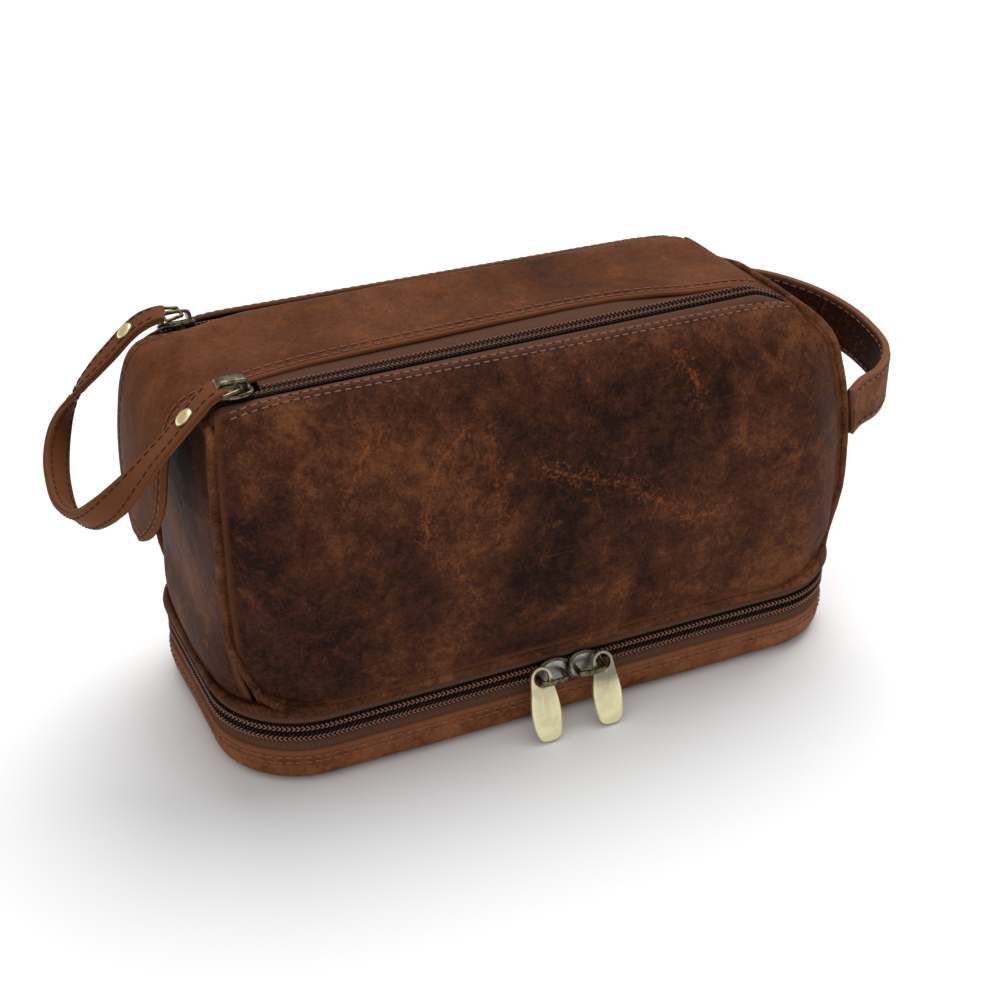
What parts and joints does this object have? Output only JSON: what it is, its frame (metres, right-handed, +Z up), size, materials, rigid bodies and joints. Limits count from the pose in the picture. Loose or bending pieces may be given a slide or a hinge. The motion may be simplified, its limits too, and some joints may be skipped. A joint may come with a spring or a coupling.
{
  "type": "shaving kit bag",
  "caption": "Leather wash bag with a zip-off tray base, a deep upper compartment, a double-zip top flap opened by a strap loop, and an end handle.",
  "frame": {"origin": "middle of the tray's underside, on the surface the bag stands on", "axes": "+X along the bag towards the carrying handle, -Y the front with the tray pulls, +Z up"},
  "size_m": [0.3377, 0.1384, 0.1534],
  "materials": {
    "dark_leather": "distressed dark brown, satin",
    "warm_leather": "waxed mid brown, satin",
    "edge_leather": "waxed light brown, pebbled",
    "zip_tape": "woven polyester tape",
    "zip_coil": "dark brown nylon coil",
    "lining": "woven lining",
    "board": "stiffener board",
    "old_brass": "antique brass",
    "slider_steel": "worn plated brass",
    "pale_brass": "brushed pale brass",
    "bright_brass": "polished brass"
  },
  "bodies": {
    "tray": {"tray_wall": "warm_leather", "tray_base": "warm_leather", "tray_board": "board", "tray_lining": "lining", "tray_zip_tape": "zip_tape", "tray_zip_coil": "zip_coil", "rear_hinge_strip": "warm_leather"},
    "upper_bag": {"front_panel": "dark_leather", "back_panel": "dark_leather", "left_end_panel": "dark_leather", "right_end_panel": "dark_leather", "left_piping": "edge_leather", "right_piping": "edge_leather", "lower_welt": "edge_leather", "bag_zip_tape": "zip_tape", "bag_zip_coil": "zip_coil", "compartment_floor": "board", "upper_lining": "lining", "front_zip_tape": "zip_tape", "front_zip_coil": "zip_coil", "rear_zip_tape": "zip_tape", "rear_zip_coil": "zip_coil", "side_handle": "warm_leather"},
    "flap": {"top_flap": "warm_leather", "flap_lining": "lining", "flap_front_tape": "zip_tape", "flap_front_coil": "zip_coil", "flap_rear_tape": "zip_tape", "flap_rear_coil": "zip_coil"},
    "top_sliders": {"top_front_slider": "old_brass", "top_rear_slider": "old_brass"},
    "strap_loop": {"pull_strap": "warm_leather", "front_link": "old_brass", "rear_link": "old_brass", "front_rivet": "bright_brass", "rear_rivet": "bright_brass"},
    "left_tray_slider": {"left_slider": "slider_steel"},
    "right_tray_slider": {"right_slider": "slider_steel"},
    "left_tray_pull": {"left_pull": "pale_brass"},
    "right_tray_pull": {"right_pull": "pale_brass"}
  },
  "joints": [
    {"name": "bag_tilt", "type": "hinge", "parent": "tray", "child": "upper_bag", "pos_m": [0, 0.0605, 0.0285], "axis": [-1, 0, 0], "range_deg": [0, 100]},
    {"name": "flap_open", "type": "hinge", "parent": "upper_bag", "child": "flap", "pos_m": [0.0982, 0, 0.1468], "axis": [0, 1, 0], "range_deg": [0, 120]},
    {"name": "top_zip_slide", "type": "slide", "parent": "upper_bag", "child": "top_sliders", "axis": [0.9999, 0, 0.0157], "range_m": [0, 0.192], "deforming": ["pull_strap", "front_rivet", "rear_rivet"]},
    {"name": "strap_lift", "type": "hinge", "parent": "top_sliders", "child": "strap_loop", "pos_m": [-0.1126, 0, 0.1502], "axis": [0, 1, 0], "range_deg": [0, 130]},
    {"name": "left_zip_slide", "type": "slide", "parent": "tray", "child": "left_tray_slider", "axis": [-1, 0, 0], "range_m": [0, 0.075]},
    {"name": "right_zip_slide", "type": "slide", "parent": "tray", "child": "right_tray_slider", "axis": [1, 0, 0], "range_m": [0, 0.083]},
    {"name": "left_pull_swing", "type": "hinge", "parent": "left_tray_slider", "child": "left_tray_pull", "pos_m": [-0.0147, -0.0652, 0.0233], "axis": [0, 0.9205, -0.3907], "range_deg": [-15, 90]},
    {"name": "right_pull_swing", "type": "hinge", "parent": "right_tray_slider", "child": "right_tray_pull", "pos_m": [0.0111, -0.0652, 0.0233], "axis": [0, -0.9205, 0.3907], "range_deg": [-15, 90]}
  ]
}
